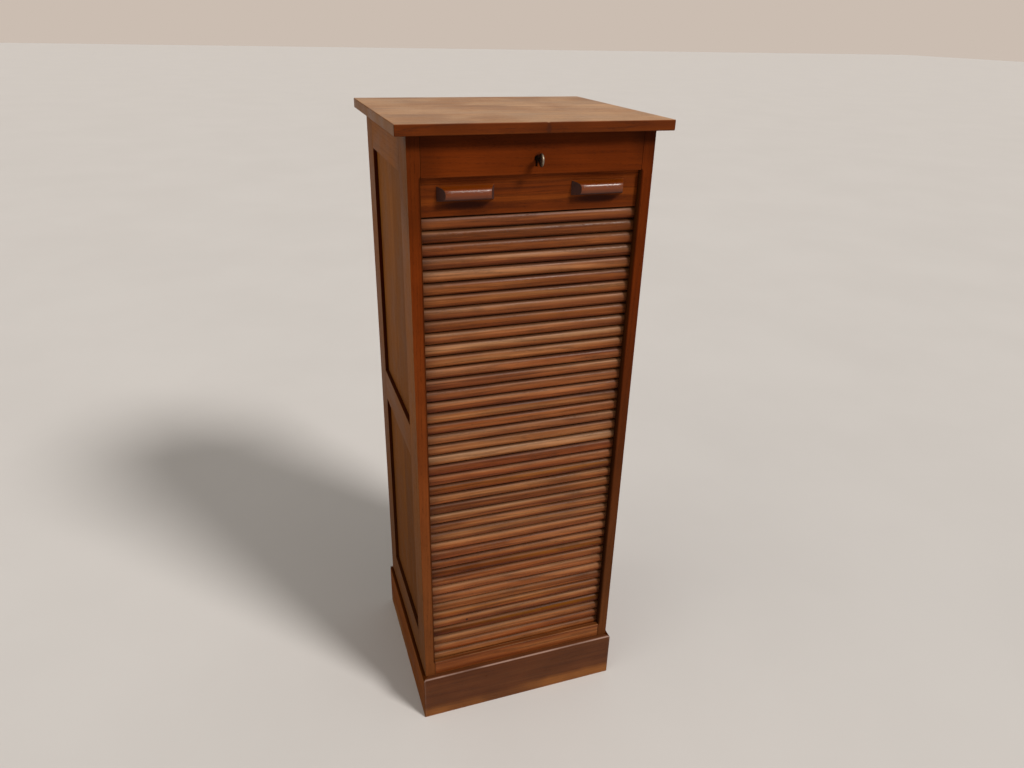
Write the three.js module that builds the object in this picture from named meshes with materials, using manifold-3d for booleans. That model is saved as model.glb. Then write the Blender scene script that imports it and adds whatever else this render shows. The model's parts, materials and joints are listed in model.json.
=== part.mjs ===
// Tambour filing cabinet: a framed and panelled carcase on a plinth, with shelves inside and a slatted
// shutter that runs in grooves down the front, under the floor board and up behind the inner back.
// Millimetres, +Z up. The front faces -Y, and the origin is on the floor under the middle of the part.

import * as THREE from "three";
import { mergeVertices } from "three/addons/utils/BufferGeometryUtils.js";
import Module from "manifold-3d";

const wasm = await Module();
wasm.setup();

// Whole cabinet
const totalHeight = 1200;
const carcaseWidth = 410;
const carcaseDepth = 368;

// Top board
const boardThickness = 17;
const boardSideOverhang = 20.5;
const boardFrontOverhang = 22;
const boardRearOverhang = 7;
const boardArris = 1.5;

// Plinth, mitred at its corners
const plinthHeight = 106;
const plinthThickness = 16;
const plinthSideProud = 6.5;
const plinthFrontProud = 10.5;
const plinthRound = 6;

// Frames of the sides and the back, with panels held in grooves
const frameThickness = 21;
const stileWidth = 60;
const topRailHeight = 63.5;
const middleRailHeight = 66;
const lowerPanelShare = 0.4854;
const bottomRailHeight = 74;
const panelThickness = 8;
const panelInset = 7;
const panelGrooveDepth = 7;
const backThickness = 16;
const backPanelThickness = 6;
const backPanelInset = 4;

// Front rails
const frontRailThickness = 22;
const sillTop = 138;
const sillClearance = 1;

// Shutter of slats on canvas, with a lead rail at its upper end
const shutterRecess = 11;
const sectionCount = 9;
const slatPitch = 21.6;
const slatGap = 0.8;
const slatThickness = 10;
const slatCrown = 3.5;
const canvasThickness = 1;
const leadRailHeight = 60.8;
const leadRailGap = 0.7;
const shutterTuck = 50;

// Grooves that the shutter runs in
const grooveDepth = 8;
const grooveClearance = 0.5;
const slatEndGap = 1;
const bendRadius = 50;
const bendEase = 4;
const trackFloor = 12;
const trackLift = 2;
const rearRunInset = 22;
const rearRunSpare = 92;

// Inside of the carcase
const floorThickness = 16;
const shelfCount = 3;
const shelfThickness = 14;
const shelfSetback = 4;
const cleatThickness = 12;
const cleatHeight = 18;
const cleatEndGap = 6;
const innerBackThickness = 6;
const innerBackGap = 8;
const innerBackTopGap = 33;
const battenSize = 20;
const battenEndGap = 4;

// Finger pulls on the lead rail
const pullLength = 93;
const pullStileGap = 25.5;
const pullHeight = 24;
const pullFrontHeight = 12;
const pullDepth = 21;
const pullEndSlope = 10;
const pullRound = 4;
const pullBelowOpening = 26;

// Lock, let into the back of the upper front rail
const lockWidth = 56;
const lockHeight = 40;
const lockDepth = 11;
const lockWall = 1.5;
const lockLift = 0.6;
const boltWidth = 24;
const boltThickness = 3;
const boltHeight = 17;
const boltTravel = 10;
const boltGap = 0.7;
const strikeLength = 40;
const strikeWidth = 7.5;
const strikeThickness = 1.5;
const strikeFrontMargin = 2;
const mortiseFloorGap = 1.6;

// Key and keyhole
const keyAboveOpening = 24.5;
const keyReach = 30;
const bowLength = 18;
const bowHeight = 20.5;
const bowRim = 4;
const bowThickness = 3;
const shankRadius = 2.75;
const collarRadius = 4;
const collarLength = 2.5;
const collarGap = 1.5;
const bitThickness = 2.5;
const bitWidth = 2.4;
const bitReach = 10.5;
const keyholeRadius = 4;
const keyholeSlotWidth = 4;
const keyholeDrop = 13;

// Clearances: between glued faces, in sliding fits, and how far a cut runs past its face
const seam = 0.2;
const slip = 0.3;
const overrun = 2;

// Steps of one round stretch, and sides of a turned piece
const curveSteps = 6;
const slatSteps = 8;
const turnedSides = 20;

// Places that several pieces share
const frontFace = -carcaseDepth / 2;
const rearFace = carcaseDepth / 2;
const halfWidth = carcaseWidth / 2;
const innerSide = halfWidth - frameThickness;
const carcaseTop = totalHeight - boardThickness;
const openingTop = carcaseTop - topRailHeight;
const shutterFront = frontFace + shutterRecess;
const shutterRear = shutterFront + slatThickness + canvasThickness;
const frontGroove = [shutterFront - grooveClearance, shutterRear + grooveClearance];
const grooveWidth = frontGroove[1] - frontGroove[0];
const rearGroove = [rearFace - rearRunInset - grooveWidth, rearFace - rearRunInset];
const slatHalfLength = innerSide + grooveDepth - slatEndGap;
const leadRailTop = openingTop - leadRailGap;
const leadRailBottom = leadRailTop - leadRailHeight;
const innerBackFront = rearGroove[0] - innerBackGap - innerBackThickness;
const shelfFront = shutterRear + shelfSetback;
const railRear = frontFace + frontRailThickness;
const keyHeight = openingTop + keyAboveOpening;
const slatCount = Math.ceil((leadRailBottom - sillTop + shutterTuck) / slatPitch);
const tailBottom = leadRailBottom - slatPitch * slatCount;

// Places through the lock, from its front wall back: the key's bit, then the bolt
const lockFront = railRear - lockDepth;
const lockBottom = openingTop + lockLift;
const cavity = [lockFront + lockWall, railRear - lockWall];
const bitSpan = [cavity[0] + slip, cavity[0] + slip + bitThickness];
const boltSpan = [bitSpan[1] + boltGap, bitSpan[1] + boltGap + boltThickness];
const boltBottom = lockBottom + slip;
const mortise = [boltSpan[0] - slip, boltSpan[1] + slip];

const oak = 0x6b3417;
const slatOak = 0x7f4722;
const boardOak = 0x9a6a44;
const innerWood = 0x8a6038;
const plywood = 0x9c7b52;
const plinthOak = 0x4f2c1c;
const steel = 0x6d6a66;
const brass = 0x9d7b3a;
const nickel = 0xa9a6a0;

const wood = (color) => new THREE.MeshStandardMaterial({ color, roughness: 0.55, metalness: 0 });
const metal = (color) => new THREE.MeshStandardMaterial({ color, roughness: 0.35, metalness: 1 });

// A span between two places, put in rising order, and one that is grown at both ends.
const span = (from, to) => [Math.min(from, to), Math.max(from, to)];
const grown = ([from, to], by) => [from - by, to + by];
const centred = (length) => [-length / 2, length / 2];

// A box between places along X, Y and Z.
function block(x, y, z) {
  const geometry = new THREE.BoxGeometry(1, 1, 1);
  const place = new THREE.Matrix4().makeScale(x[1] - x[0], y[1] - y[0], z[1] - z[0]);
  place.setPosition((x[0] + x[1]) / 2, (y[0] + y[1]) / 2, (z[0] + z[1]) / 2);
  return geometry.applyMatrix4(place);
}

// An outline drawn in two of the axes, run along the third between two places.
function extrude(outline, [from, to], right, up, along, steps = curveSteps) {
  const geometry = new THREE.ExtrudeGeometry(outline, {
    depth: to - from,
    bevelEnabled: false,
    curveSegments: steps,
  });
  const start = along.x + along.y + along.z > 0 ? from : to;
  const place = new THREE.Matrix4().makeBasis(right, up, along);
  place.setPosition(Math.abs(along.x) * start, Math.abs(along.y) * start, Math.abs(along.z) * start);
  return geometry.applyMatrix4(place);
}

const axisX = new THREE.Vector3(1, 0, 0);
const axisY = new THREE.Vector3(0, 1, 0);
const axisZ = new THREE.Vector3(0, 0, 1);
const towardsFront = new THREE.Vector3(0, -1, 0);
const alongX = (outline, ends, steps) => extrude(outline, ends, axisY, axisZ, axisX, steps);
const alongY = (outline, ends, steps) => extrude(outline, ends, axisX, axisZ, towardsFront, steps);
const alongZ = (outline, ends, steps) => extrude(outline, ends, axisX, axisY, axisZ, steps);

// A closed outline through corners [across, up, radius], with each corner rounded by its radius.
function roundedOutline(corners) {
  const outline = new THREE.Shape();
  const points = corners.map(([across, up]) => new THREE.Vector2(across, up));
  corners.forEach(([, , radius], index) => {
    const corner = points[index];
    const before = points[(index + points.length - 1) % points.length];
    const after = points[(index + 1) % points.length];
    const enter = before.clone().sub(corner).setLength(radius).add(corner);
    const leave = after.clone().sub(corner).setLength(radius).add(corner);
    if (index === 0) outline.moveTo(enter.x, enter.y);
    else outline.lineTo(enter.x, enter.y);
    if (radius > 0) outline.quadraticCurveTo(corner.x, corner.y, leave.x, leave.y);
  });
  outline.closePath();
  return outline;
}

function toSolid(geometry) {
  const bare = geometry.clone();
  bare.deleteAttribute("normal");
  bare.deleteAttribute("uv");
  const merged = mergeVertices(bare);
  const vertProperties = merged.attributes.position.array;
  const triVerts = new Uint32Array(merged.index.array);
  return new wasm.Manifold(new wasm.Mesh({ numProp: 3, vertProperties, triVerts }));
}

function toGeometry(solid) {
  const { vertProperties, triVerts } = solid.getMesh();
  const geometry = new THREE.BufferGeometry();
  geometry.setAttribute("position", new THREE.BufferAttribute(vertProperties, 3));
  geometry.setIndex(new THREE.BufferAttribute(triVerts, 1));
  const facets = geometry.toNonIndexed();
  facets.computeVertexNormals();
  return facets;
}

const combine = (how) => (first, ...others) =>
  toGeometry(others.reduce((solid, other) => solid[how](toSolid(other)), toSolid(first)));
const cut = combine("subtract");
const join = combine("add");
const common = combine("intersect");

const cabinet = new THREE.Group();
cabinet.position.y = (Math.max(keyReach, boardFrontOverhang) - boardRearOverhang) / 2;

function piece(name, geometry, material, parent = cabinet) {
  const mesh = new THREE.Mesh(geometry, material);
  mesh.name = name;
  parent.add(mesh);
  return mesh;
}

const sides = [
  { label: "left", sign: -1 },
  { label: "right", sign: 1 },
];

function topBoard() {
  const half = halfWidth + boardSideOverhang - boardArris;
  const front = frontFace - boardFrontOverhang + boardArris;
  const rear = rearFace + boardRearOverhang - boardArris;
  const outline = new THREE.Shape([
    new THREE.Vector2(-half, front),
    new THREE.Vector2(half, front),
    new THREE.Vector2(half, rear),
    new THREE.Vector2(-half, rear),
  ]);
  const geometry = new THREE.ExtrudeGeometry(outline, {
    depth: boardThickness - boardArris * 2 - seam,
    bevelEnabled: true,
    bevelThickness: boardArris,
    bevelSize: boardArris,
    bevelSegments: 3,
  });
  const board = piece("top_board", geometry, wood(boardOak));
  board.position.z = carcaseTop + seam + boardArris;
}

// One plinth board, drawn with its outer face at y = 0 facing -Y, mitred at both ends.
function plinthBoard(name, length, round, x, y, turn) {
  const outerHalf = length / 2 - seam;
  const innerHalf = outerHalf - plinthThickness;
  const plan = new THREE.Shape([
    new THREE.Vector2(-outerHalf, 0),
    new THREE.Vector2(outerHalf, 0),
    new THREE.Vector2(innerHalf, plinthThickness),
    new THREE.Vector2(-innerHalf, plinthThickness),
  ]);
  const top = plinthHeight - seam;
  const section = roundedOutline([
    [0, 0, 0],
    [plinthThickness, 0, 0],
    [plinthThickness, top, 0],
    [0, top, round],
  ]);
  const geometry = common(
    alongZ(plan, [0, plinthHeight]),
    alongX(section, centred(length)),
  );
  const board = piece(name, geometry, wood(plinthOak));
  board.position.set(x, y, 0);
  board.rotation.z = turn;
}

function plinth() {
  const outerHalf = halfWidth + plinthSideProud;
  const front = frontFace - plinthFrontProud;
  const depth = rearFace - front;
  const middle = (rearFace + front) / 2;
  plinthBoard("plinth_front", outerHalf * 2, plinthRound, 0, front, 0);
  plinthBoard("plinth_left", depth, plinthRound, -outerHalf, middle, -Math.PI / 2);
  plinthBoard("plinth_right", depth, plinthRound, outerHalf, middle, Math.PI / 2);
  plinthBoard("plinth_back", outerHalf * 2, 0, 0, rearFace, Math.PI);
}

// The groove at the rear takes what goes down at the front, less the way through the tracks.
function rearRunTop() {
  const travel = openingTop - pullBelowOpening - pullHeight / 2 - sillTop;
  const bendTop = trackFloor + bendRadius;
  const flatWay = rearGroove[1] - frontGroove[0] - bendRadius * 2;
  const bends = Math.PI * (bendRadius - grooveWidth / 2);
  const climb = travel - (tailBottom - bendTop) - flatWay - bends;
  return bendTop + climb + rearRunSpare;
}

function stiles() {
  const height = [plinthHeight, carcaseTop];
  const panelGroove = grown([panelInset, panelInset + panelThickness], slip / 2);
  const backGroove = grown([backPanelInset, backPanelInset + backPanelThickness], slip / 2);
  const runHeight = [plinthHeight - overrun, openingTop + seam];
  const rearRunHeight = [plinthHeight - overrun, rearRunTop()];
  for (const { label, sign } of sides) {
    const outer = sign * halfWidth;
    const inner = sign * innerSide;
    const whole = span(outer, inner);
    const run = span(inner + sign * grooveDepth, inner - sign * overrun);
    const panelSlot = span(outer - sign * panelGroove[0], outer - sign * panelGroove[1]);
    const front = [frontFace, frontFace + stileWidth];
    const frontGeometry = cut(
      block(whole, front, height),
      block(run, frontGroove, runHeight),
      block(panelSlot, [front[1] - panelGrooveDepth, front[1] + overrun], grown(height, overrun)),
    );
    piece(`${label}_front_stile`, frontGeometry, wood(oak));
    const rear = [rearFace - stileWidth, rearFace];
    const backSlot = [rearFace - backGroove[1], rearFace - backGroove[0]];
    const backSlotReach = span(inner + sign * panelGrooveDepth, inner - sign * overrun);
    const rearGeometry = cut(
      block(whole, rear, height),
      block(run, rearGroove, rearRunHeight),
      block(panelSlot, [rear[0] - overrun, rear[0] + panelGrooveDepth], grown(height, overrun)),
      block(backSlotReach, backSlot, grown(height, overrun)),
    );
    piece(`${label}_rear_stile`, rearGeometry, wood(oak));
  }
}

// A rail of a frame, with its outer face at y = 0: grooved for panels, with a tongue at each end.
function frameRail(length, thickness, panelSpan, [bottom, top], grooveBelow, grooveAbove) {
  const body = block(centred(length - seam * 2), [0, thickness], [bottom, top]);
  const groove = grown(panelSpan, slip / 2);
  const cuts = [];
  if (grooveBelow) {
    cuts.push(block(centred(length), groove, [bottom - overrun, bottom + panelGrooveDepth]));
  }
  if (grooveAbove) {
    cuts.push(block(centred(length), groove, [top - panelGrooveDepth, top + overrun]));
  }
  const tongueBottom = bottom + (grooveBelow ? panelGrooveDepth : 0);
  const tongueTop = top - (grooveAbove ? panelGrooveDepth : 0);
  const reach = length + (panelGrooveDepth - slip) * 2;
  return join(cut(body, ...cuts), block(centred(reach), panelSpan, [tongueBottom, tongueTop]));
}

// The rails and panels between two stiles, seen from outside, in a group turned to face its side.
function frameFilling(label, length, thickness, inset, filling, x, y, turn) {
  const frame = new THREE.Group();
  frame.position.set(x, y, 0);
  frame.rotation.z = turn;
  cabinet.add(frame);
  const panelSpan = [inset, inset + filling];
  const bottomRail = [plinthHeight, plinthHeight + bottomRailHeight];
  const topRail = [openingTop, carcaseTop];
  const room = openingTop - bottomRail[1] - middleRailHeight;
  const middleBottom = bottomRail[1] + room * lowerPanelShare;
  const middleRail = [middleBottom, middleBottom + middleRailHeight];
  const rail = (height, below, above) =>
    frameRail(length, thickness, panelSpan, height, below, above);
  piece(`${label}_bottom_rail`, rail(bottomRail, false, true), wood(oak), frame);
  piece(`${label}_middle_rail`, rail(middleRail, true, true), wood(oak), frame);
  piece(`${label}_top_rail`, rail(topRail, true, false), wood(oak), frame);
  const tuck = panelGrooveDepth - slip;
  const panel = (below, above) =>
    block(centred(length + tuck * 2), panelSpan, [below[1] - tuck, above[0] + tuck]);
  piece(`${label}_lower_panel`, panel(bottomRail, middleRail), wood(oak), frame);
  piece(`${label}_upper_panel`, panel(middleRail, topRail), wood(oak), frame);
}

function frames() {
  const sideLength = carcaseDepth - stileWidth * 2;
  const side = [sideLength, frameThickness, panelInset, panelThickness];
  frameFilling("left", ...side, -halfWidth, 0, -Math.PI / 2);
  frameFilling("right", ...side, halfWidth, 0, Math.PI / 2);
  const back = [innerSide * 2, backThickness, backPanelInset, backPanelThickness];
  frameFilling("back", ...back, 0, rearFace, Math.PI);
}

// A keyhole cut, drawn across X and Z about the key's axis.
function keyholeCut(ends) {
  const half = keyholeSlotWidth / 2;
  const lean = Math.asin(half / keyholeRadius);
  const outline = new THREE.Shape();
  outline.moveTo(-half, keyHeight - keyholeDrop);
  outline.lineTo(half, keyHeight - keyholeDrop);
  outline.absarc(0, keyHeight, keyholeRadius, lean - Math.PI / 2, Math.PI * 1.5 - lean, false);
  outline.closePath();
  return alongY(outline, ends, turnedSides);
}

function frontRails() {
  const between = centred((innerSide - seam) * 2);
  const pocket = block(
    grown(centred(lockWidth), slip),
    [lockFront - slip, railRear + overrun],
    [openingTop - overrun, lockBottom + lockHeight + slip],
  );
  const railGeometry = cut(
    block(between, [frontFace, railRear], [openingTop, carcaseTop]),
    pocket,
    keyholeCut([frontFace - overrun, railRear]),
  );
  piece("front_top_rail", railGeometry, wood(oak));
  const sillDepth = [frontFace, shutterFront - sillClearance];
  piece("front_sill_rail", block(between, sillDepth, [plinthHeight, sillTop]), wood(oak));
}

// The track that turns the shutter under the floor board: outer wall first, then the inner wall.
function trackOutline() {
  const top = plinthHeight + overrun;
  const roof = trackFloor + grooveWidth;
  const innerRadius = bendRadius - grooveWidth + bendEase;
  const [frontOuter, frontInner] = frontGroove;
  const [rearInner, rearOuter] = rearGroove;
  const down = Math.PI * 1.5;
  const outline = new THREE.Shape();
  outline.moveTo(frontOuter, top);
  outline.lineTo(frontOuter, trackFloor + bendRadius);
  outline.absarc(frontOuter + bendRadius, trackFloor + bendRadius, bendRadius, Math.PI, down, false);
  outline.absarc(rearOuter - bendRadius, trackFloor + bendRadius, bendRadius, down, Math.PI * 2, false);
  outline.lineTo(rearOuter, top);
  outline.lineTo(rearInner, top);
  outline.absarc(rearInner - innerRadius, roof + innerRadius, innerRadius, Math.PI * 2, down, true);
  outline.absarc(frontInner + innerRadius, roof + innerRadius, innerRadius, down, Math.PI, true);
  outline.lineTo(frontInner, top);
  outline.closePath();
  return outline;
}

function tracks() {
  const front = frontFace - plinthFrontProud + plinthThickness + seam;
  const rear = rearFace - plinthThickness - seam;
  const outer = halfWidth + plinthSideProud - plinthThickness - seam;
  for (const { label, sign } of sides) {
    const inner = sign * innerSide;
    const geometry = cut(
      block(span(sign * outer, inner), [front, rear], [trackLift, plinthHeight - seam]),
      alongX(trackOutline(), span(inner + sign * grooveDepth, inner - sign * overrun)),
    );
    piece(`${label}_track`, geometry, wood(innerWood));
  }
}

function inside() {
  const width = centred((innerSide - seam) * 2);
  const depth = [shelfFront, innerBackFront - seam];
  const room = openingTop - sillTop - shelfThickness * shelfCount;
  const step = room / (shelfCount + 1) + shelfThickness;
  const boards = [{ name: "floor_board", cleat: "floor_cleat", top: sillTop, thickness: floorThickness }];
  for (let index = 1; index <= shelfCount; index += 1) {
    const top = sillTop + step * index;
    boards.push({ name: `shelf_${index}`, cleat: `shelf_cleat_${index}`, top, thickness: shelfThickness });
  }
  for (const { name, cleat, top, thickness } of boards) {
    const board = piece(name, block(width, depth, [-thickness, 0]), wood(innerWood));
    board.position.z = top;
    for (const { label, sign } of sides) {
      const across = span(sign * (innerSide - seam), sign * (innerSide - seam - cleatThickness));
      const geometry = block(across, grown(depth, -cleatEndGap), [-cleatHeight - seam, -seam]);
      const strip = piece(`${cleat}_${label}`, geometry, wood(innerWood));
      strip.position.z = top - thickness;
    }
  }
  const backSpan = [innerBackFront, innerBackFront + innerBackThickness];
  const backHeight = [sillTop - floorThickness, carcaseTop - innerBackTopGap];
  piece("inner_back", block(width, backSpan, backHeight), wood(plywood));
  const battenDepth = [railRear + battenEndGap, rearFace - backThickness - battenEndGap];
  for (const { label, sign } of sides) {
    const across = span(sign * (innerSide - seam), sign * (innerSide - seam - battenSize));
    const geometry = block(across, battenDepth, [carcaseTop - battenSize, carcaseTop]);
    piece(`${label}_top_batten`, geometry, wood(innerWood));
  }
}

// Slats side by side on their canvas, drawn across Y and Z from the top of the first slat down.
function slatOutline(count) {
  const height = slatPitch - slatGap;
  const radius = (height * height / 4 + slatCrown * slatCrown) / (slatCrown * 2);
  const lean = Math.asin(height / 2 / radius);
  const canvasFront = shutterFront + slatThickness;
  const outline = new THREE.Shape();
  outline.moveTo(shutterRear, 0);
  for (let index = 0; index < count; index += 1) {
    const top = -slatPitch * index;
    outline.lineTo(canvasFront, top);
    outline.lineTo(shutterFront + slatCrown, top);
    outline.absarc(shutterFront + radius, top - height / 2, radius, Math.PI - lean, Math.PI + lean, false);
    outline.lineTo(canvasFront, top - height);
  }
  outline.lineTo(shutterRear, -slatPitch * (count - 1) - height);
  outline.closePath();
  return outline;
}

function tambour() {
  for (let index = 0; index < sectionCount; index += 1) {
    const first = Math.round((slatCount * index) / sectionCount);
    const next = Math.round((slatCount * (index + 1)) / sectionCount);
    const geometry = alongX(slatOutline(next - first), centred(slatHalfLength * 2), slatSteps);
    const section = piece(`tambour_${index + 1}`, geometry, wood(slatOak));
    section.position.z = leadRailBottom - slatGap - slatPitch * first;
  }
}

function leadRail() {
  const strikeAcross = centred(strikeLength);
  const strikeSpan = [shutterFront + strikeFrontMargin, shutterFront + strikeFrontMargin + strikeWidth];
  const strikeHeight = [leadRailTop - strikeThickness, leadRailTop];
  const recessHeight = [strikeHeight[0] - seam, leadRailTop + overrun];
  const boltHole = grown(centred(boltWidth), slip);
  const mortiseBottom = boltBottom - boltTravel - mortiseFloorGap;
  const railGeometry = cut(
    block(centred(slatHalfLength * 2), [shutterFront, shutterRear], [leadRailBottom, leadRailTop]),
    block(grown(strikeAcross, seam), grown(strikeSpan, seam), recessHeight),
    block(boltHole, mortise, [mortiseBottom, leadRailTop]),
  );
  piece("lead_rail", railGeometry, wood(oak));
  const strikeGeometry = cut(
    block(strikeAcross, strikeSpan, strikeHeight),
    block(boltHole, mortise, grown(strikeHeight, overrun)),
  );
  piece("strike_plate", strikeGeometry, metal(brass));
}

// A finger pull: a bar that narrows towards its front and whose ends slope in.
function pulls() {
  const face = shutterFront - seam;
  const front = shutterFront - pullDepth;
  const tall = pullHeight / 2;
  const low = pullFrontHeight / 2;
  const section = roundedOutline([
    [face, -tall, 0],
    [face, tall, 0],
    [front, low, pullRound],
    [front, -low, pullRound],
  ]);
  const long = pullLength / 2;
  const short = long - pullEndSlope;
  const plan = new THREE.Shape([
    new THREE.Vector2(-short, front),
    new THREE.Vector2(short, front),
    new THREE.Vector2(long, face),
    new THREE.Vector2(-long, face),
  ]);
  for (const { label, sign } of sides) {
    const geometry = common(
      alongX(section, centred(pullLength)),
      alongZ(plan, centred(pullHeight)),
    );
    const pull = piece(`${label}_pull`, geometry, wood(oak));
    pull.position.x = sign * (innerSide - pullStileGap - pullLength / 2);
    pull.position.z = openingTop - pullBelowOpening;
  }
}

// A round bar along Y between two places.
function turned(radius, [from, to], z) {
  const geometry = new THREE.CylinderGeometry(radius, radius, to - from, turnedSides);
  return geometry.translate(0, (from + to) / 2, z);
}

function lock() {
  const across = centred(lockWidth);
  const height = [lockBottom, lockBottom + lockHeight];
  const boltPath = grown(centred(boltWidth), slip);
  const caseGeometry = cut(
    block(across, [lockFront, railRear], height),
    block(grown(across, -lockWall), cavity, grown(height, -lockWall)),
    block(boltPath, mortise, [lockBottom - overrun, lockBottom + lockWall + overrun]),
    keyholeCut([lockFront - overrun, lockFront + lockWall + slip]),
    turned(shankRadius + slip, [cavity[1] - slip, railRear + overrun], keyHeight),
  );
  piece("lock_case", caseGeometry, metal(steel));
  const boltGeometry = block(centred(boltWidth), boltSpan, [0, boltHeight]);
  const bolt = piece("lock_bolt", boltGeometry, metal(brass));
  bolt.position.z = boltBottom;
}

// The key, drawn about its own axis, with the bow and the bit upright.
function key() {
  const front = frontFace - keyReach;
  const bowMiddle = front + bowLength / 2;
  const bow = new THREE.Shape();
  bow.absellipse(bowMiddle, 0, bowLength / 2, bowHeight / 2, 0, Math.PI * 2, false);
  const eye = new THREE.Path();
  eye.absellipse(bowMiddle, 0, bowLength / 2 - bowRim, bowHeight / 2 - bowRim, 0, Math.PI * 2, true);
  bow.holes.push(eye);
  const bowRear = front + bowLength;
  const collarFront = bowRear + collarGap;
  const geometry = join(
    turned(shankRadius, [bowRear - bowRim / 2, railRear - slip], 0),
    alongX(bow, centred(bowThickness), turnedSides),
    turned(collarRadius, [collarFront, collarFront + collarLength], 0),
    block(centred(bitWidth), bitSpan, [-bitReach, 0]),
  );
  const mesh = piece("key", geometry, metal(nickel));
  mesh.position.z = keyHeight;
}

topBoard();
plinth();
stiles();
frames();
frontRails();
tracks();
inside();
tambour();
leadRail();
pulls();
lock();
key();

export default cabinet;
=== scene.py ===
import json
import math
import random

import bmesh
import bpy
from mathutils import Matrix, Vector, noise


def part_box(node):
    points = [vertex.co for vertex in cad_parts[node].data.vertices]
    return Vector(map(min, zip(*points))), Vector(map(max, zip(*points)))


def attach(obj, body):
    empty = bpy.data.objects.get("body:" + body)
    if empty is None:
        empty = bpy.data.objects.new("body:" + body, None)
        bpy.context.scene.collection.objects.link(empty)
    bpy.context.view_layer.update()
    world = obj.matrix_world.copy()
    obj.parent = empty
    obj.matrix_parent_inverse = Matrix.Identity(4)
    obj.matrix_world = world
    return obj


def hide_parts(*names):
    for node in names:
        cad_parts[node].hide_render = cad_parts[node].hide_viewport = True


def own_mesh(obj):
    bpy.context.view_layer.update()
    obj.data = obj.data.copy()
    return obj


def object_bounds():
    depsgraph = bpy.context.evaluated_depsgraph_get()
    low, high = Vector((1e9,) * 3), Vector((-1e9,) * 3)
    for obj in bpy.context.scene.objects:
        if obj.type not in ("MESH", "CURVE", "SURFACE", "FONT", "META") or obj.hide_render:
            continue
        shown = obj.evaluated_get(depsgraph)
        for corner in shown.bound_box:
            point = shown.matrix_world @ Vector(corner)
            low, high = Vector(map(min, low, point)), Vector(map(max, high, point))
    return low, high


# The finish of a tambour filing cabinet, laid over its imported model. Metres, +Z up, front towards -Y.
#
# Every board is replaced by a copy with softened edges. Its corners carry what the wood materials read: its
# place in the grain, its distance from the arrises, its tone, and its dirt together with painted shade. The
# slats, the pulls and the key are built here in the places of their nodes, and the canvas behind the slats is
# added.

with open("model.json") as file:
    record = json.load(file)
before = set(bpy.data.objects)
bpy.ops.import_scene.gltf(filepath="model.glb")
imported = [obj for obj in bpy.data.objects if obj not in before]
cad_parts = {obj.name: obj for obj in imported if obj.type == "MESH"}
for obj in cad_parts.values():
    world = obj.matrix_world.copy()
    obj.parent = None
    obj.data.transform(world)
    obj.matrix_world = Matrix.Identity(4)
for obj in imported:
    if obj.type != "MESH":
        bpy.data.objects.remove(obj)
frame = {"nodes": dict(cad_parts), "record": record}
cad_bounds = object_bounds()

MM = 0.001
AXES = {"x": 0, "y": 1, "z": 2}

# Camera of the photograph, fitted to the cabinet's corners
CAMERA_PLACE = (-0.4248, -1.2924, 1.3336)
CAMERA_AIM = (0.0, -0.0827, 0.7121)
CAMERA_ROLL = math.radians(1.44)
CAMERA_LENS = 26.27
SENSOR_WIDTH = 36.0

# Each lamp's direction, as seen from the cabinet, with its strength, its angle and its colour
LAMPS = {
    "key_light": ((0.5, -0.72, 0.75), 2.8, math.radians(14), (1.0, 0.98, 0.95)),
    "fill_light": ((-0.9, -0.2, 0.35), 0.95, math.radians(70), (1.0, 0.95, 0.84)),
    "ceiling_light": ((0.1, -0.15, 1.0), 0.4, math.radians(60), (1.0, 0.98, 0.95)),
}
SKY_COLOUR = (1.0, 0.98, 0.95, 1.0)
SKY_STRENGTH = 0.22

# The floor lies just under the plinth
FLOOR_REACH = 40.0
FLOOR_DROP = 0.2 * MM

# Copies of the CAD meshes: corners this near are welded, and faces this flat are joined
WELD = 0.01 * MM
FLAT_ANGLE = math.radians(1)

# Softened edges: along a board, at its joints, and on metal
ARRIS = 0.8 * MM
FINE_ARRIS = 0.3 * MM
JOINT_ARRIS = 0.25 * MM
TOP_ARRIS = 0.5 * MM
TOP_END = 0.8 * MM
PLINTH_END = 1.5 * MM
STRIKE_ARRIS = 0.2 * MM
SHARP_ANGLE = math.radians(35)
CREASE_ANGLE = math.radians(50)

# The part of an edge's run that lies along an axis, from which it counts as running that way
LENGTHWISE = 0.98

# The shortest edge that is rounded: on the nodes with a keyhole, and on a front stile
PIERCED = {"front_top_rail": 11 * MM, "lock_case": 8 * MM}
SHORTEST_ON_STILE = 11 * MM

# Rounded arris of the front stiles along the opening, and how near to it its corners are found
OPENING_ROUND = 6 * MM
OPENING_STOP = 2 * MM
OPENING_STEPS = 6
NEAR = 0.05 * MM

# Worn arrises, which on the plinth's rounded top edge also paint a highlight: where the wear begins to go out
# and is gone, its share on faces that don't look up, and the level of the clouds that lets it through. Ends
# that don't show are moved away, so that they aren't worn.
RUBBED_CORE = 0.3 * MM
RUBBED_RIM = 4 * MM
RUBBED_ELSEWHERE = 0.12
RUBBED_CLOUDS = (0.38, 0.6)
HIDDEN_END = 1.0

# Noise in the wood: its scale along the grain and across it, its detail and its roughness
BROAD = (1.7, 60, 4, 0.6)
FINE = (7, 480, 3, 0.65)
CLOUDS = (9, 16, 3, 0.55)
PORES = (130, 2400, 1, 0.5)

# Year rings: how the log lies in a board, and how close and how wavy they are
RING_TURN = (0.0, 0.14, 0.25)
RING_STRETCH = (0.08, 1.0, 1.0)
RING_SCALE = 52.0
RING_WAVER = 8.0

# The levels between which early wood and open pores come in, and the pores' share outside the early wood
EARLY_WOOD = (0.55, 0.95)
OPEN_PORES = (0.56, 0.72)
LATE_PORES = 0.35

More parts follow.
